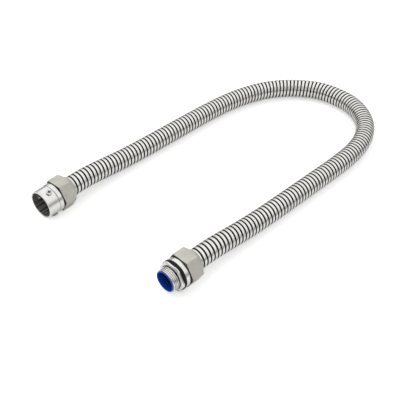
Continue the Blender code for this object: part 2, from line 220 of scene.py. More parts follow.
def wound_hose(name, knots):
    """The profile of one turn, carried round and along the line through the knots.

    Row j, column i lies at s = (j's share + i / sides - 1) * pitch along the line, held between the
    two ends, and at angle 2 pi i / sides, so every row climbs one pitch for each time round.
    A plain bore and two flat ends close it. The line and its length are the other two results.
    """
    line = smooth_run(knots, TURN_PITCH / LINE_STEPS_A_TURN)
    step = np.linalg.norm(np.diff(line, axis=0), axis=1)
    travelled = np.concatenate(([0.0], np.cumsum(step)))
    total = travelled[-1]
    heading = np.gradient(line, travelled, axis=0)

    def ring(s, angle, radius):
        """Points round the line at s: centre + radius * (cos angle * side + sin angle * up)."""
        centre, ahead = (
            np.stack([np.interp(s, travelled, part) for part in table.T], axis=-1)
            for table in (line, heading)
        )
        ahead /= np.linalg.norm(ahead, axis=-1, keepdims=True)
        side = np.cross(ahead, (0.0, 0.0, 1.0))
        side /= np.linalg.norm(side, axis=-1, keepdims=True)
        out = np.cos(angle)[..., None] * side + np.sin(angle)[..., None] * np.cross(side, ahead)
        return centre + radius[..., None] * out

    # Outside: the last column of a row is the first column of the row one turn on
    share, drop, groove = turn_profile()
    turns = math.ceil(total / TURN_PITCH) + SPARE_TURNS
    columns = np.arange(HOSE_SIDES + 1)
    around = 2 * math.pi * columns / HOSE_SIDES
    row = (np.arange(turns)[:, None] + share).reshape(-1, 1)
    s = np.clip((row + columns / HOSE_SIDES - 1) * TURN_PITCH, 0.0, total)
    cut = (s <= 0.0) | (s >= total)
    end_radius = HOSE_OD / 2 - drop.max()
    radius = np.where(cut, end_radius, HOSE_OD / 2 - np.tile(drop, turns)[:, None])
    angle = np.broadcast_to(around, s.shape)
    outer = ring(s, angle, radius)[:, :-1].reshape(-1, 3)
    numbers = np.arange(len(outer)).reshape(len(row), HOSE_SIDES)
    last = np.concatenate((numbers[len(share):, 0], np.full(len(share), numbers[-1, 0])))
    outer_table = np.concatenate((numbers, last[:, None]), axis=1)
    # The groove mask is painted shade: by the profile in grooves and the seam, and full on the cut ends
    outer_mask = np.where(cut[:, :-1], 1.0, np.tile(groove, turns)[:, None]).reshape(-1)

    # Inside: plain rings from the far end back, the first and last out at the ends' edge
    coarse = np.linspace(0.0, total, round(total / (TURNS_A_BORE_ROW * TURN_PITCH)))
    back = np.concatenate(([total], coarse[::-1], [0.0]))
    inner_radius = np.full(len(back), HOSE_BORE / 2)
    inner_radius[[0, -1]] = end_radius
    s_in, angle_in = np.broadcast_arrays(back[:, None], around)
    inner = ring(s_in, angle_in, np.broadcast_to(inner_radius[:, None], s_in.shape))
    inner = inner[:, :-1].reshape(-1, 3)
    numbers = len(outer) + np.arange(len(inner)).reshape(len(back), HOSE_SIDES)
    inner_table = np.concatenate((numbers, numbers[:, :1]), axis=1)
    # The bore gets that painted shade at half strength
    inner_mask = np.full(len(inner), BORE_MIDDLE_SHADE)

    uv = (corner_uv(angle * HOSE_OD / 2, s), corner_uv(angle_in * HOSE_BORE / 2, s_in))
    piece = surface(
        name, np.concatenate((outer, inner)), np.concatenate((quads(outer_table), quads(inner_table))),
        np.concatenate(uv), {"groove": np.concatenate((outer_mask, inner_mask))},
    )
    return piece, line, total


def add_node(tree, kind, values=None, **settings):
    """Add a shader node, set its properties, and fill its named inputs from sockets or plain values."""
    node = tree.nodes.new(kind)
    for key, value in settings.items():
        setattr(node, key, value)
    for key, value in (values or {}).items():
        if isinstance(value, bpy.types.NodeSocket):
            tree.links.new(value, node.inputs[key])
        else:
            node.inputs[key].default_value = value
    return node


def maths(tree, operation, *terms):
    """Result of one Math node on sockets or plain values."""
    return add_node(tree, "ShaderNodeMath", dict(enumerate(terms)), operation=operation).outputs[0]


def blend_colour(tree, share, first, second):
    """Colour that goes from first to second as share goes from 0 to 1."""
    node = add_node(tree, "ShaderNodeMix", {0: share, 6: first, 7: second}, data_type="RGBA")
    return node.outputs[2]


def ramp(tree, value, ends, low=0.0, high=1.0, **settings):
    """Value that goes from low to high as the given one goes from the first end to the second."""
    values = {"Value": value, "From Min": ends[0], "From Max": ends[1], "To Min": low, "To Max": high}
    return add_node(tree, "ShaderNodeMapRange", values, **settings).outputs[0]


def noise(tree, vector, scale, detail, roughness=0.5):
    """Cloudy value around 0.5, with about as many clouds to a unit of the vector as the scale says."""
    values = {"Vector": vector, "Scale": scale, "Detail": detail, "Roughness": roughness}
    return add_node(tree, "ShaderNodeTexNoise", values).outputs[0]


def value_group(name, inputs, output):
    """A shader node group with named float or vector inputs and one float output."""
    tree = bpy.data.node_groups.new(name, "ShaderNodeTree")
    for label, kind, default in inputs:
        socket = tree.interface.new_socket(label, in_out="INPUT", socket_type=kind)
        if default is not None:
            socket.default_value = default
    tree.interface.new_socket(output, in_out="OUTPUT", socket_type="NodeSocketFloat")
    return tree, tree.nodes.new("NodeGroupInput").outputs, tree.nodes.new("NodeGroupOutput").inputs


# Tool marks run along the UV map's first direction, which goes round every turned or wound piece
tool_marks, given, result = value_group(
    "tool_marks",
    [("Vector", "NodeSocketVector", None), ("Along", "NodeSocketFloat", 60.0),
     ("Across", "NodeSocketFloat", 4000.0)],
    "Marks",
)
stretch = add_node(tool_marks, "ShaderNodeCombineXYZ", {0: given["Along"], 1: given["Across"]})
streaked = add_node(
    tool_marks, "ShaderNodeVectorMath", {0: given["Vector"], 1: stretch.outputs[0]},
    operation="MULTIPLY",
)
streaks = noise(tool_marks, streaked.outputs[0], 1.0, 3.0, 0.6)
tool_marks.links.new(streaks, result["Marks"])

# Handling marks: broad soft patches where a surface is a little duller
handling, given, result = value_group(
    "handling_marks",
    [("Vector", "NodeSocketVector", None), ("Scale", "NodeSocketFloat", 60.0)],
    "Dullness",
)
patches = noise(handling, given["Vector"], given["Scale"], 4.0, 0.55)
handling.links.new(ramp(handling, patches, (0.35, 0.65)), result["Dullness"])


def group_value(tree, group, values):
    """Output of a node group that is placed in the tree with its own inputs."""
    return add_node(tree, "ShaderNodeGroup", values, node_tree=group).outputs[0]


def mask_value(tree, name):
    """Value from 0 to 1 that the mesh holds under that name."""
    return add_node(tree, "ShaderNodeAttribute", attribute_name=name).outputs["Fac"]


def finish_material(name):
    """An empty material: its node tree, its Principled shader, and its UV and Object coordinates."""
    look = bpy.data.materials.new(name)
    look.use_nodes = True
    tree = look.node_tree
    spot = tree.nodes.new("ShaderNodeTexCoord")
    return look, tree, tree.nodes["Principled BSDF"], spot.outputs["UV"], spot.outputs["Object"]


def set_colour(tree, shader, ground, *layers):
    """Base Color: the ground, then each layer's colour over it by the layer's value * strength."""
    colour = ground
    for value, strength, over in layers:
        share = value if strength == 1.0 else maths(tree, "MULTIPLY", value, strength)
        colour = blend_colour(tree, share, colour, over)
    tree.links.new(colour, shader.inputs["Base Color"])


def set_roughness(tree, shader, base, *additions):
    """Roughness: the base, and value * amount for each addition."""
    rough = base
    for value, amount in additions:
        rough = maths(tree, "MULTIPLY_ADD", value, amount, rough)
    tree.links.new(rough, shader.inputs["Roughness"])


def set_relief(tree, shader, height, strength, distance):
    """Normal: bumps as tall as the distance where the height value is 1."""
    values = {"Height": height, "Strength": strength, "Distance": distance}
    tree.links.new(add_node(tree, "ShaderNodeBump", values).outputs[0], shader.inputs["Normal"])


def rolled_steel():
    """Bright rolled strip: fine marks along it, dull patches, and painted shade where the groove mask is 1.
    """
    look, tree, shader, uv, spot = finish_material("rolled_steel")
    marks = group_value(tree, tool_marks, {"Vector": uv, "Along": 90.0, "Across": 5000.0})
    dull = group_value(tree, handling, {"Vector": spot, "Scale": 45.0})
    # The groove mask paints shade into the grooves, the seam, the cut ends and the bore
    groove = mask_value(tree, "groove")
    set_colour(
        tree, shader, STEEL_BRIGHT,
        (dull, 0.35, STEEL_WORN), (marks, 0.25, STEEL_STREAK), (groove, 1.0, STEEL_GROOVE_SHADE),
    )
    set_roughness(tree, shader, 0.14, (marks, 0.14), (dull, 0.08), (groove, 0.35))
    set_relief(tree, shader, marks, 0.25, 0.00002)
    shader.inputs["Metallic"].default_value = 1.0
    return look


def fit(piece, look, slot, *nodes):
    """Give a piece its material and its body, and hide the CAD nodes it stands for. The slot is not used.
    """
    piece.data.materials.append(look)
    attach(piece, "root")
    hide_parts(*nodes)


collar_end = connector_frame(COLLAR_MOUTH, COLLAR_YAW)
thread_end = connector_frame(SPIGOT_MOUTH, SPIGOT_YAW)
hose_knots = [
    place(collar_end, HOSE_END_DEPTH), place(collar_end, NUT_BACK), *np.array(FREE_ROUTE),
    place(thread_end, NUT_BACK), place(thread_end, HOSE_END_DEPTH),
]
hose, hose_line, hose_length = wound_hose("wound_hose", hose_knots)
fit(hose, rolled_steel(), "hose_steel", "conduit_hose")

# It is a free length between its two compression nuts: it leaves one and enters the other
place(collar_end, NUT_BACK)


# Ferrules: a thin steel sleeve inside each end of the hose, whose flange covers the strip's cut end
# and keeps it off the cables. It is pressed from sheet and seen only through the mouths.
CLEARANCE = 0.0003
FERRULE_FRONT = 0.0236
FERRULE_FLANGE = 0.0010
FERRULE_LENGTH = 0.0160
FERRULE_WALL = 0.0008
SLEEVE_STEPS = 72
ZINC = (0.80, 0.80, 0.79, 1.0)
ZINC_DULL = (0.68, 0.68, 0.67, 1.0)
ZINC_SHADE = (0.02, 0.02, 0.02, 1.0)

# How far an edge is rounded, from none at all to the fullest
SHARP = 0.0
CRISP = 0.0001
BROKEN = 0.0002
EASED = 0.0003
SOFT = 0.0004
ROUNDED = 0.0005
FULL = 0.0006
ROUNDING_STEPS = 4
FLAT_GUARD = 1.4


def section(corners, theta):
    """Closed section of a turned piece, one for each angle, with its corners rounded.

    Each corner is (depth, radius, rounding), as numbers or arrays over the angles. It becomes the
    curve corner + r (1 - k)^2 to the last corner + r k^2 to the next, for k from 0 to 1, where r is
    the rounding, held to a third of the shorter side. A point just outside each end of that curve,
    at FLAT_GUARD times r from the corner, keeps the flats flat where they meet it.
    """
    depth, radius, rounding = (
        np.stack([np.broadcast_to(corner[i], theta.shape) for corner in corners], axis=1)
        for i in range(3)
    )
    here = np.stack((depth, radius), axis=-1)
    back = np.roll(here, 1, axis=1) - here
    ahead = np.roll(here, -1, axis=1) - here
    shorter = np.minimum(np.linalg.norm(back, axis=-1), np.linalg.norm(ahead, axis=-1))
    reach = np.minimum(rounding, shorter / 3)[..., None]
    back = back / np.linalg.norm(back, axis=-1, keepdims=True) * reach
    ahead = ahead / np.linalg.norm(ahead, axis=-1, keepdims=True) * reach
    k = np.linspace(0.0, 1.0, ROUNDING_STEPS)
    to_back = np.concatenate(([FLAT_GUARD], (1 - k) ** 2, [0.0]))[:, None]
    to_ahead = np.concatenate(([0.0], k ** 2, [FLAT_GUARD]))[:, None]
    curve = here[:, :, None] + back[:, :, None] * to_back + ahead[:, :, None] * to_ahead
    return curve.reshape(len(theta), -1, 2)


def turned(name, where, outline, theta, masks=None):
    """Carry a section round the frame's axis: (depth, r cos theta, r sin theta) in frame arms."""
    depth = outline[..., 0]
    radius = outline[..., 1]
    points = place(where, depth, radius * np.cos(theta)[:, None], radius * np.sin(theta)[:, None])
    table = np.pad(np.arange(depth.size).reshape(depth.shape), ((0, 1), (0, 1)), mode="wrap")
    step = np.linalg.norm(np.roll(outline, -1, axis=1) - outline, axis=-1)
    run = np.concatenate((np.zeros((len(theta), 1)), np.cumsum(step, axis=1)), axis=1)
    run = np.concatenate((run, run[:1]), axis=0)
    turn = np.concatenate((theta, [theta[0] + 2 * math.pi])) * radius.max()
    masks = {key: values.reshape(-1) for key, values in (masks or {}).items()}
    return surface(name, points.reshape(-1, 3), quads(table), corner_uv(turn[:, None], run), masks)


def round_angles(count):
    """Even angles round a circle: 2 pi i / count."""
    return 2 * math.pi * np.arange(count) / count


def zinc_plate():
    """Zinc-plated steel: pale, faintly streaked round the piece, dark where the shade mask is 1."""
    look, tree, shader, uv, spot = finish_material("plated_steel")
    marks = group_value(tree, tool_marks, {"Vector": uv, "Along": 200.0, "Across": 6000.0})
    dull = group_value(tree, handling, {"Vector": spot, "Scale": 150.0})
    shade = mask_value(tree, "shade")
    set_colour(tree, shader, ZINC, (dull, 1.0, ZINC_DULL), (shade, 1.0, ZINC_SHADE))
    set_roughness(tree, shader, 0.20, (marks, 0.15), (shade, 0.30))
    set_relief(tree, shader, marks, 0.3, 0.00002)
    shader.inputs["Metallic"].default_value = 1.0
    return look


plated_steel = zinc_plate()
both_ends = (("collar_end", collar_end), ("thread_end", thread_end))
sleeve_angles = round_angles(SLEEVE_STEPS)
sleeve = HOSE_BORE / 2 - CLEARANCE
bore = sleeve - FERRULE_WALL
flange_back = FERRULE_FRONT + FERRULE_FLANGE
sleeve_end = FERRULE_FRONT + FERRULE_LENGTH
outline = section([
    (FERRULE_FRONT, HOSE_OD / 2, BROKEN), (flange_back, HOSE_OD / 2, BROKEN),
    (flange_back, sleeve, BROKEN), (sleeve_end, sleeve, BROKEN), (sleeve_end, bore, BROKEN),
    (FERRULE_FRONT, bore, ROUNDED),
], sleeve_angles)
for end, where in both_ends:
    ferrule = turned(end + "_sleeve", where, outline, sleeve_angles)
    fit(ferrule, plated_steel, "screw_steel", end + "_ferrule")


# Sealing rings: moulded nylon, one round each end of the hose behind the connector's boss, where
# the compression nut squeezes it against the strip.
SEAL_FRONT = 0.0333
SEAL_BACK = 0.0375
SEAL_D = 0.0310
SEAL_NOSE_D = 0.0284
SEAL_TAPER = 0.0016
ROOM_FOR_HOSE = HOSE_OD / 2 + CLEARANCE
NYLON = (0.80, 0.79, 0.74, 1.0)
NYLON_DULL = (0.72, 0.70, 0.63, 1.0)


def moulded_nylon():
    """Natural nylon: milky and softly mottled in colour and gloss."""
    look, tree, shader, _, spot = finish_material("moulded_nylon")
    dull = group_value(tree, handling, {"Vector": spot, "Scale": 200.0})
    set_colour(tree, shader, NYLON, (dull, 1.0, NYLON_DULL))
    set_roughness(tree, shader, 0.42, (dull, 0.12))
    return look


nylon = moulded_nylon()
outline = section([
    (SEAL_FRONT, SEAL_NOSE_D / 2, EASED), (SEAL_FRONT + SEAL_TAPER, SEAL_D / 2, EASED),
    (SEAL_BACK, SEAL_D / 2, EASED), (SEAL_BACK, ROOM_FOR_HOSE, BROKEN),
    (SEAL_FRONT, ROOM_FOR_HOSE, BROKEN),
], sleeve_angles)
for end, where in both_ends:
    seal_ring = turned(end + "_nylon_ring", where, outline, sleeve_angles)
    fit(seal_ring, nylon, "white_nylon", end + "_seal_ring")


# Compression nuts: cast in a warm grey alloy and left satin. The hexagon's corners are just broken in
# front and well chamfered behind, where it runs into a tapered nose that closes on the hose.
NUT_FLATS = 0.0360
NUT_FRONT = 0.0219
NUT_HEX_LENGTH = 0.0182
NUT_FACE_D = 0.0385
NUT_FACE_CHAMFER = 0.0008
NUT_REAR_D = 0.0330
NUT_REAR_CHAMFER = 0.0034
NUT_REAR_ROUND = 0.0020
NUT_NOSE_WALL = 0.0007
NUT_SHOULDER = 0.0061
NUT_EDGE_SHARPNESS = 190.0
HEX_STEPS_A_FLAT = 20
EDGE_BREAK = 0.0002
FACE_SHADE = 0.9
BOSS_D = 0.0310
ALLOY = (0.64, 0.62, 0.560, 1.0)
ALLOY_DULL = (0.56, 0.54, 0.480, 1.0)
ALLOY_PITS = (0.42, 0.41, 0.38, 1.0)
ALLOY_SHADE = (0.02, 0.02, 0.018, 1.0)


def hexagon_angles(per_flat):
    """Angles crowded towards the six corners: 60 k + 30 - 30 cos(180 i / per_flat) degrees."""
    in_flat = 30 - 30 * np.cos(math.pi * np.arange(per_flat) / per_flat)
    return np.radians((60 * np.arange(6)[:, None] + in_flat).reshape(-1))


def hexagon(flats, theta, sharpness):
    """Radius of a hexagon with softened corners: half the flats / (sum of |cos|^p over them)^(1/p)."""
    lean = theta[:, None] - np.radians((30.0, 90.0, 150.0))
    return flats / 2 / (np.abs(np.cos(lean)) ** sharpness).sum(axis=1) ** (1 / sharpness)


def chamfer_run(radius, flats, face_d, full_run):
    """How far back a turned chamfer cuts: full_run at the corners, and less where the radius is less."""
    corner = flats / math.sqrt(3) + CLEARANCE
    share = (radius - face_d / 2) / (corner - face_d / 2)
    return np.maximum(share * full_run, EDGE_BREAK)


def cast_alloy():
    """Satin cast alloy: fine pits and grain in the relief, cloudy in colour and gloss."""
    look, tree, shader, _, spot = finish_material("cast_alloy")
    dull = group_value(tree, handling, {"Vector": spot, "Scale": 120.0})
    grain = noise(tree, spot, 2600.0, 4.0)
    shade = mask_value(tree, "shade")
    set_colour(
        tree, shader, ALLOY, (dull, 1.0, ALLOY_DULL), (grain, 0.30, ALLOY_PITS), (shade, 1.0, ALLOY_SHADE),
    )
    set_roughness(tree, shader, 0.40, (dull, 0.10))
    set_relief(tree, shader, grain, 0.5, 0.00006)
    shader.inputs["Metallic"].default_value = 0.45
    return look


satin_alloy = cast_alloy()
hex_angles = hexagon_angles(HEX_STEPS_A_FLAT)
flat = hexagon(NUT_FLATS, hex_angles, NUT_EDGE_SHARPNESS)
face = np.minimum(flat, NUT_FACE_D / 2)
face_run = chamfer_run(flat, NUT_FLATS, NUT_FACE_D, NUT_FACE_CHAMFER)
rear_run = chamfer_run(flat, NUT_FLATS, NUT_REAR_D, NUT_REAR_CHAMFER)
nose_start = NUT_FRONT + NUT_HEX_LENGTH
shoulder = NUT_BACK - NUT_SHOULDER
thread_room = BOSS_D / 2 + CLEARANCE
outline = section([
    (NUT_FRONT, face - EDGE_BREAK, CRISP), (NUT_FRONT + face_run, flat, CRISP),
    (nose_start - rear_run, flat, EASED), (nose_start, NUT_REAR_D / 2, NUT_REAR_ROUND),
    (NUT_BACK, ROOM_FOR_HOSE + NUT_NOSE_WALL, SOFT), (NUT_BACK, ROOM_FOR_HOSE, BROKEN),
    (shoulder, ROOM_FOR_HOSE, EASED), (shoulder, thread_room, EASED),
    (NUT_FRONT, thread_room, ROUNDED),
], hex_angles)
in_face = outline[..., 0] < NUT_FRONT + EDGE_BREAK / 2
for end, where in both_ends:
    nut = turned(end + "_compression_nut", where, outline, hex_angles, {"shade": FACE_SHADE * in_face})
    fit(nut, satin_alloy, "nut_metal", end + "_nut")


# Collar: a bright nickel-plated turning that slips over a rigid conduit, with a stop inside, a
# raised ring behind and a boss under the compression nut. Three screws bear on what it holds.
COLLAR_D = 0.0350
COLLAR_BORE_D = 0.0313
COLLAR_DEPTH = 0.0180
BODY_BACK = 0.0206
BOSS_BACK = 0.0330
RING_D = 0.0358
RING_WIDTH = 0.0052
LAND_D = 0.0220
LAND_BACK = 0.0233
BORE_RIM = 0.0005
BORE_SHADE = 0.9
STEP_LINE = 0.0008
PLATED_STEPS = 120
NICKEL = (0.90, 0.89, 0.87, 1.0)
NICKEL_DULL = (0.82, 0.81, 0.79, 1.0)
# Painted shade in the bore and the thread valleys: dark, with lighter lengthwise streaks
NICKEL_SHADE_DARK = (0.025, 0.024, 0.022, 1.0)
NICKEL_SHADE_LIGHT = (0.85, 0.84, 0.80, 1.0)
# Black painted shade lines at the collar ring's step, on the thread beside the lock nut and in its
# countersink
NICKEL_SHADE_LINE = (0.010, 0.010, 0.009, 1.0)
SHADE_STREAK = (0.50, 0.64)


def bright_nickel():
    """Bright nickel plate: nearly a mirror, with faint turning marks and a few dull patches.

    Where the shade mask is 1, in the bore and between threads, it is painted shade, dark and
    streaked lengthwise. Where the line mask is 1, at a step or a joint, it is painted shade in black.
    """
    look, tree, shader, uv, spot = finish_material("bright_nickel")
    marks = group_value(tree, tool_marks, {"Vector": uv, "Along": 40.0, "Across": 3500.0})
    dull = group_value(tree, handling, {"Vector": spot, "Scale": 90.0})
    lengthwise = group_value(tree, tool_marks, {"Vector": uv, "Along": 900.0, "Across": 12.0})
    shade = mask_value(tree, "shade")
    shade_line = mask_value(tree, "shade_line")
    # Painted shade, streaked lengthwise
    streaked_shade = blend_colour(tree, ramp(tree, lengthwise, SHADE_STREAK), NICKEL_SHADE_DARK, NICKEL_SHADE_LIGHT)
    set_colour(
        tree, shader, NICKEL, (dull, 1.0, NICKEL_DULL), (shade, 1.0, streaked_shade), (shade_line, 1.0, NICKEL_SHADE_LINE),
    )
    set_roughness(tree, shader, 0.18, (marks, 0.16), (dull, 0.06), (shade, 0.15))
    set_relief(tree, shader, marks, 0.2, 0.00002)
    tree.links.new(maths(tree, "MULTIPLY_ADD", shade, -0.35, 1.0), shader.inputs["Metallic"])
    return look


nickel = bright_nickel()
plated_angles = round_angles(PLATED_STEPS)
rear_of_body = [
    (BODY_BACK, BOSS_D / 2, BROKEN), (BOSS_BACK, BOSS_D / 2, SOFT), (BOSS_BACK, ROOM_FOR_HOSE, BROKEN),
    (LAND_BACK, ROOM_FOR_HOSE, BROKEN), (LAND_BACK, LAND_D / 2, BROKEN),
]
ring_front = BODY_BACK - RING_WIDTH
outline = section([
    (0.0, COLLAR_D / 2, ROUNDED), (ring_front - STEP_LINE, COLLAR_D / 2, SHARP),
    (ring_front, COLLAR_D / 2, SHARP),
    (ring_front + (RING_D - COLLAR_D) / 2, RING_D / 2, EASED), (BODY_BACK, RING_D / 2, ROUNDED),
    *rear_of_body, (COLLAR_DEPTH, LAND_D / 2, EASED), (COLLAR_DEPTH, COLLAR_BORE_D / 2, EASED),
    (0.0, COLLAR_BORE_D / 2, SOFT),
], plated_angles)
depth, radius = outline[..., 0], outline[..., 1]
inside = (radius < COLLAR_BORE_D / 2 + BORE_RIM) & (depth > BORE_RIM)
at_step = (np.abs(depth - ring_front) < STEP_LINE / 4) & (radius > BOSS_D / 2)
# The bore gets painted shade, and the ring's step a thin black line of painted shade
masks = {"shade": inside * BORE_SHADE, "shade_line": at_step}
collar = turned("set_screw_collar", collar_end, outline, plated_angles, masks)
fit(collar, nickel, "nickel", "screw_collar")


# Set screws: steel pan-head screws with a crossed recess, one on top of the collar, one low on its
# near side and one on its far side. Their points stand inside its bore.
SCREW_ANGLES = (112.0, 232.0, 352.0)
SCREW_FROM_MOUTH = 0.0097
SCREW_D = 0.0040
SCREW_HEAD_D = 0.0072
SCREW_HEAD = 0.0022
SCREW_HEAD_SIDE = 0.0010
SCREW_HEAD_FOOT = 0.0006
SCREW_REACH = 0.0024
SCREW_POINT_D = 0.0024
SCREW_POINT = 0.0008
SCREW_STEPS = 96
SHADE_BEYOND_D = 0.0048
CROWN_SHARES = (0.98, 0.02)
CROWN_ROWS = 40
RECESS_WIDTH = 0.0011
RECESS_SPAN = 0.0042
RECESS_DEPTH = 0.0012
RECESS_WALL = 0.00025


def radial_frame(where, depth, degrees):
    """Frame of a screw: origin on the connector's axis, and its own axis pointing outwards."""
    origin, axis, side, top = where
    lean = math.radians(degrees)
    outwards = math.cos(lean) * side + math.sin(lean) * top
    return origin + depth * axis, outwards, axis, np.cross(outwards, axis)


def crossed_recess(x, y):
    """1 inside a cross of two slots and 0 outside, with sloping walls, for places on the head."""
    def inside(value, width):
        """1 within half the width, and 0 beyond it: half less |value|, over the wall, plus 0.5."""
        return np.clip((width / 2 - np.abs(value)) / RECESS_WALL + 0.5, 0.0, 1.0)
    along = inside(x, RECESS_SPAN) * inside(y, RECESS_WIDTH)
    across = inside(x, RECESS_WIDTH) * inside(y, RECESS_SPAN)
    return np.maximum(along, across)


def crown(share):
    """Height of the head's domed top above its side, at a share of its radius: h sqrt(1 - share^3)."""
    return (SCREW_HEAD - SCREW_HEAD_SIDE) * math.sqrt(1 - share ** 3)


screw_angles = round_angles(SCREW_STEPS)
tip = COLLAR_BORE_D / 2 - SCREW_REACH
seat = COLLAR_D / 2 + CLEARANCE
side = seat + SCREW_HEAD_SIDE
head = SCREW_HEAD_D / 2
outline = section([
    (tip, 0.0, SHARP), (tip, SCREW_POINT_D / 2, BROKEN), (tip + SCREW_POINT, SCREW_D / 2, BROKEN),
    (seat, SCREW_D / 2, CRISP), (seat, head, BROKEN), (seat + SCREW_HEAD_FOOT, head, SHARP),
    (side, head, SHARP),
    *((side + crown(share), head * share, SHARP) for share in np.linspace(*CROWN_SHARES, CROWN_ROWS)),
    (seat + SCREW_HEAD, 0.0, SHARP),
], screw_angles)
depth, radius = outline[..., 0], outline[..., 1]
cross = crossed_recess(radius * np.cos(screw_angles)[:, None], radius * np.sin(screw_angles)[:, None])
cross *= depth > side
under_head = (depth < seat + SCREW_HEAD_SIDE / 2) & (radius > SHADE_BEYOND_D / 2)
outline[..., 0] -= RECESS_DEPTH * cross
masks = {"shade": np.maximum(cross, under_head)}
for number, degrees in enumerate(SCREW_ANGLES, start=1):
    where = radial_frame(collar_end, SCREW_FROM_MOUTH, degrees)
    screw = turned(f"pan_head_screw_{number}", where, outline, screw_angles, masks)
    fit(screw, plated_steel, "screw_steel", f"set_screw_{number}")


# Threaded body: bright nickel-plated, with a fine parallel thread on its spigot, a flange that backs
# the washer, and the same boss behind. The lock nut runs on the thread.
FLANGE_FRONT = 0.0156
FLANGE_D = 0.0354
SPIGOT_FRONT = 0.0011
THREAD_D = 0.0270
SPIGOT_CHAMFER = 0.0008
THREAD_PITCH = 0.0020
THREAD_DEPTH = 0.0006
THREAD_FLANK = 4.0
THREAD_CREST = 2.4
THREAD_ROWS = 200
WASHER_THICK = 0.0036
LOCKNUT_THICK = 0.0022
NUT_LINE = 0.0012
THROAT_D = 0.0246
THROAT_DEPTH = 0.0125


def threaded(outline, theta, front, back):
    """Cut a right-hand thread: r falls by depth * (flank * |2 frac(s / pitch - theta / 2 pi) - 1| - crest).

    That share of the depth is held between 0 and 1. It fades in over one pitch from the front of the
    spigot and out over one pitch at the flange, and it is the second result.
    """
    depth, radius = outline[..., 0], outline[..., 1]
    turn = depth / THREAD_PITCH - theta[:, None] / (2 * math.pi)
    valley = np.abs(2 * (turn % 1.0) - 1)
    valley = np.clip(THREAD_FLANK * valley - THREAD_CREST, 0.0, 1.0)
    fade = np.clip((depth - front) / THREAD_PITCH, 0.0, 1.0)
    fade *= np.clip((back - depth) / THREAD_PITCH, 0.0, 1.0)
    on_thread = (radius > THREAD_D / 2 - SPIGOT_CHAMFER) & (depth < back)
    valley *= fade * on_thread
    outline[..., 1] -= THREAD_DEPTH * valley
    return outline, valley


spigot = THREAD_D / 2
throat_end = SPIGOT_FRONT + THROAT_DEPTH
thread_run = np.linspace(SPIGOT_FRONT + SPIGOT_CHAMFER, FLANGE_FRONT, THREAD_ROWS)[1:-1]
outline = section([
    (SPIGOT_FRONT, spigot - SPIGOT_CHAMFER, BROKEN),
    (SPIGOT_FRONT + SPIGOT_CHAMFER, spigot, CRISP),
    *((depth, spigot, SHARP) for depth in thread_run),
    (FLANGE_FRONT, spigot, CRISP), (FLANGE_FRONT, FLANGE_D / 2, FULL),
    (BODY_BACK, FLANGE_D / 2, FULL), *rear_of_body,
    (throat_end, LAND_D / 2, EASED), (throat_end, THROAT_D / 2, BROKEN),
    (SPIGOT_FRONT, THROAT_D / 2, BROKEN),
], plated_angles)
outline, valley = threaded(outline, plated_angles, SPIGOT_FRONT, FLANGE_FRONT)
washer_back = FLANGE_FRONT - CLEARANCE
washer_front = washer_back - WASHER_THICK
locknut_back = washer_front - CLEARANCE
locknut_front = locknut_back - LOCKNUT_THICK
depth, radius = outline[..., 0], outline[..., 1]
under_nut = np.clip((depth - locknut_front) / NUT_LINE + 1, 0.0, 1.0)
under_nut *= (depth < FLANGE_FRONT) & (np.abs(radius - spigot) < 2 * THREAD_DEPTH)
# Thread valleys get painted shade, and the thread next to the lock nut a black line of painted shade
masks = {"shade": valley, "shade_line": under_nut}
body = turned("spigot_body", thread_end, outline, plated_angles, masks)
fit(body, nickel, "nickel", "threaded_body")


# Throat bush: blue plastic, pressed into the spigot so that its rounded lip covers the metal edge
# that cables would rub on.
BUSH_BORE_D = 0.0226
BUSH_LIP_D = 0.0250
BUSH_LIP = 0.0008
BLUE = (0.006, 0.075, 0.46, 1.0)
BLUE_DULL = (0.004, 0.060, 0.40, 1.0)
# Colour of the painted shade deep in the bush's bore
BLUE_DEPTH_SHADE = (0.001, 0.003, 0.050, 1.0)


def blue_plastic():
    """Moulded blue plastic with a soft gloss and the faintest flow marks, with painted shade down the bore.
    """
    look, tree, shader, _, spot = finish_material("blue_plastic")
    dull = group_value(tree, handling, {"Vector": spot, "Scale": 160.0})
    shade = mask_value(tree, "shade")
    set_colour(tree, shader, BLUE, (dull, 1.0, BLUE_DULL), (shade, 1.0, BLUE_DEPTH_SHADE))
    set_roughness(tree, shader, 0.16, (dull, 0.08))
    return look


lip_front = SPIGOT_FRONT - CLEARANCE - BUSH_LIP
lip_back = lip_front + BUSH_LIP
bush_outer = THROAT_D / 2 - CLEARANCE
outline = section([
    (lip_front, BUSH_LIP_D / 2, SOFT), (lip_back, BUSH_LIP_D / 2, BROKEN),
    (lip_back, bush_outer, CRISP), (throat_end - CLEARANCE, bush_outer, BROKEN),
    (throat_end - CLEARANCE, BUSH_BORE_D / 2, EASED), (lip_front, BUSH_BORE_D / 2, SOFT),
], plated_angles)
depth, radius = outline[..., 0], outline[..., 1]
down_bore = np.clip((depth - lip_back) / (throat_end - lip_back), 0.0, 1.0)
# Painted shade that deepens down the bore
masks = {"shade": down_bore * (radius < (BUSH_BORE_D / 2 + bush_outer) / 2)}
bush = turned("throat_bush", thread_end, outline, plated_angles, masks)
fit(bush, blue_plastic(), "blue_plastic", "insulating_bush")


# Sealing washer: a flat ring of black rubber between the flange and the wall it is fixed to, bulged
# a little at its rim.
WASHER_D = 0.0358
WASHER_BULGE = 0.0008
RUBBER = (0.007, 0.007, 0.007, 1.0)
RUBBER_BLOOM = (0.014, 0.014, 0.014, 1.0)


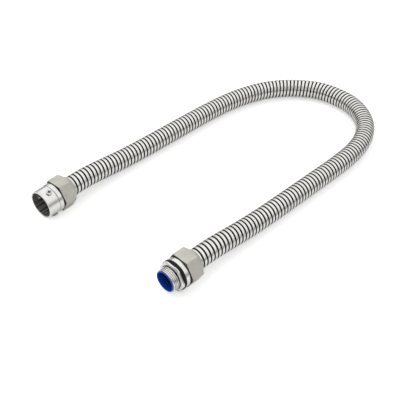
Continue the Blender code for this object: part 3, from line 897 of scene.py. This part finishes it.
def black_rubber():
    """Matt black rubber with a fine bloom on its skin."""
    look, tree, shader, _, spot = finish_material("black_rubber")
    dull = group_value(tree, handling, {"Vector": spot, "Scale": 220.0})
    grain = noise(tree, spot, 5000.0, 2.0)
    set_colour(tree, shader, RUBBER, (dull, 1.0, RUBBER_BLOOM))
    set_roughness(tree, shader, 0.50, (dull, 0.15))
    set_relief(tree, shader, grain, 0.4, 0.00003)
    shader.inputs["Specular IOR Level"].default_value = 0.2
    return look


nut_room = spigot + CLEARANCE
outline = section([
    (washer_front, WASHER_D / 2, WASHER_BULGE), (washer_back, WASHER_D / 2, WASHER_BULGE),
    (washer_back, nut_room, BROKEN), (washer_front, nut_room, BROKEN),
], plated_angles)
washer = turned("rubber_washer", thread_end, outline, plated_angles)
fit(washer, black_rubber(), "black_rubber", "sealing_washer")


# Lock nut: a thin bright hexagon on the spigot's thread. Its corners are turned off round, its outer
# face is chamfered, and the mouth of its thread is countersunk.
LOCKNUT_FLATS = 0.0338
LOCKNUT_CORNER_D = 0.0368
LOCKNUT_FACE_D = 0.0326
LOCKNUT_CHAMFER = 0.0011
LOCKNUT_EDGE_SHARPNESS = 260.0
COUNTERSINK = 0.0005

flat = hexagon(LOCKNUT_FLATS, hex_angles, LOCKNUT_EDGE_SHARPNESS)
flat = np.minimum(flat, LOCKNUT_CORNER_D / 2)
face = LOCKNUT_FACE_D / 2
face_run = (flat - face) * LOCKNUT_CHAMFER / (LOCKNUT_CORNER_D / 2 - face)
outline = section([
    (locknut_front, face, CRISP), (locknut_front + face_run, flat, CRISP),
    (locknut_back, flat, BROKEN), (locknut_back, nut_room, BROKEN),
    (locknut_front + COUNTERSINK, nut_room, CRISP), (locknut_front, nut_room + COUNTERSINK, CRISP),
], hex_angles)
# The countersink gets a black line of painted shade against the thread
masks = {"shade_line": outline[..., 1] < nut_room + COUNTERSINK / 2}
lock_nut = turned("hex_lock_nut", thread_end, outline, hex_angles, masks)
fit(lock_nut, nickel, "nickel", "lock_nut")


# Surroundings: a plain white floor and an even white studio under one soft lamp. What bright metal
# reflects of it is white overhead and dark low down, with a dark patch high up beyond the open ends.
FLOOR_SIZE = 8.0
FLOOR_COLOUR = (0.82, 0.82, 0.82, 1.0)
SEEN_FLOOR_COLOUR = (0.95, 0.95, 0.95, 1.0)
FAR_FLOOR_COLOUR = (0.0, 0.0, 0.0, 1.0)
SEEN_LIFT = 0.39
MIRROR_LIFT = 0.10
GRAZING = (0.80, 0.97)
DIM_FLOOR = 0.25
SKY_LIGHT = 0.86
SEEN_SKY = 1.0
LOW_REFLECTION = 0.06
BOX_EDGE = (0.05, 0.38)
ROOM_SIDE = (-0.53, -0.53, 0.66)
ROOM_EDGE = (0.90, 0.97)
WHITE = (1.0, 1.0, 1.0, 1.0)
LAMP_STRENGTH = 0.6
LAMP_SPREAD = math.radians(40.0)
LAMP_FROM = Euler((math.radians(-30.0), 0.0, math.radians(12.0)))


def blend_value(tree, share, first, second):
    """Value that goes from first to second as share goes from 0 to 1."""
    return add_node(tree, "ShaderNodeMix", {0: share, 2: first, 3: second}).outputs[0]


def seen_and_mirrored(tree):
    """Two masks: 1 for what the camera sees itself, and 1 for what glossy surfaces reflect."""
    path = tree.nodes.new("ShaderNodeLightPath").outputs
    return maths(tree, "MAXIMUM", path["Is Camera Ray"], path["Is Transmission Ray"]), path["Is Glossy Ray"]


def white_floor():
    """Matt floor, lifted to white where it is seen, and dim where metal mirrors it at a slant."""
    look, tree, shader, _, _ = finish_material("white_floor")
    seen, mirrored = seen_and_mirrored(tree)
    slant = add_node(tree, "ShaderNodeLayerWeight", {"Blend": 0.5}).outputs["Facing"]
    kept = maths(tree, "MULTIPLY", mirrored, ramp(tree, slant, GRAZING, 1.0, DIM_FLOOR))
    lost = maths(tree, "SUBTRACT", mirrored, kept)
    set_colour(tree, shader, FLOOR_COLOUR, (seen, 1.0, SEEN_FLOOR_COLOUR), (lost, 1.0, FAR_FLOOR_COLOUR))
    lift = maths(tree, "MULTIPLY_ADD", seen, SEEN_LIFT, maths(tree, "MULTIPLY", kept, MIRROR_LIFT))
    tree.links.new(lift, shader.inputs["Emission Strength"])
    shader.inputs["Emission Color"].default_value = WHITE
    shader.inputs["Roughness"].default_value = 0.9
    shader.inputs["Specular IOR Level"].default_value = 0.0
    return look


def white_studio():
    """Even white light, of which glossy surfaces reflect the part overhead."""
    world = bpy.data.worlds.new("studio")
    world.use_nodes = True
    tree = world.node_tree
    direction = tree.nodes.new("ShaderNodeTexCoord").outputs["Generated"]
    height = add_node(tree, "ShaderNodeSeparateXYZ", {0: direction}).outputs["Z"]
    overhead = ramp(tree, height, BOX_EDGE, LOW_REFLECTION, interpolation_type="SMOOTHSTEP")
    towards_room = add_node(
        tree, "ShaderNodeVectorMath", {0: direction, 1: ROOM_SIDE}, operation="DOT_PRODUCT",
    ).outputs["Value"]
    reflected = blend_value(tree, ramp(tree, towards_room, ROOM_EDGE), overhead, LOW_REFLECTION)
    seen, mirrored = seen_and_mirrored(tree)
    level = blend_value(tree, seen, blend_value(tree, mirrored, SKY_LIGHT, reflected), SEEN_SKY)
    sky = tree.nodes["Background"]
    tree.links.new(level, sky.inputs["Strength"])
    sky.inputs["Color"].default_value = WHITE
    return world


edge = FLOOR_SIZE / 2
floor_mesh = bpy.data.meshes.new("floor")
floor_mesh.from_pydata(
    [(-edge, -edge, 0.0), (edge, -edge, 0.0), (edge, edge, 0.0), (-edge, edge, 0.0)],
    [], [(0, 1, 2, 3)],
)
floor_mesh.materials.append(white_floor())
floor = bpy.data.objects.new("floor", floor_mesh)
bpy.context.scene.collection.objects.link(floor)
bpy.context.scene.world = white_studio()

lamp_data = bpy.data.lights.new("soft_lamp", "SUN")
lamp_data.energy = LAMP_STRENGTH
lamp_data.angle = LAMP_SPREAD
lamp = bpy.data.objects.new("soft_lamp", lamp_data)
lamp.rotation_euler = LAMP_FROM
lamp.visible_glossy = False
bpy.context.scene.collection.objects.link(lamp)
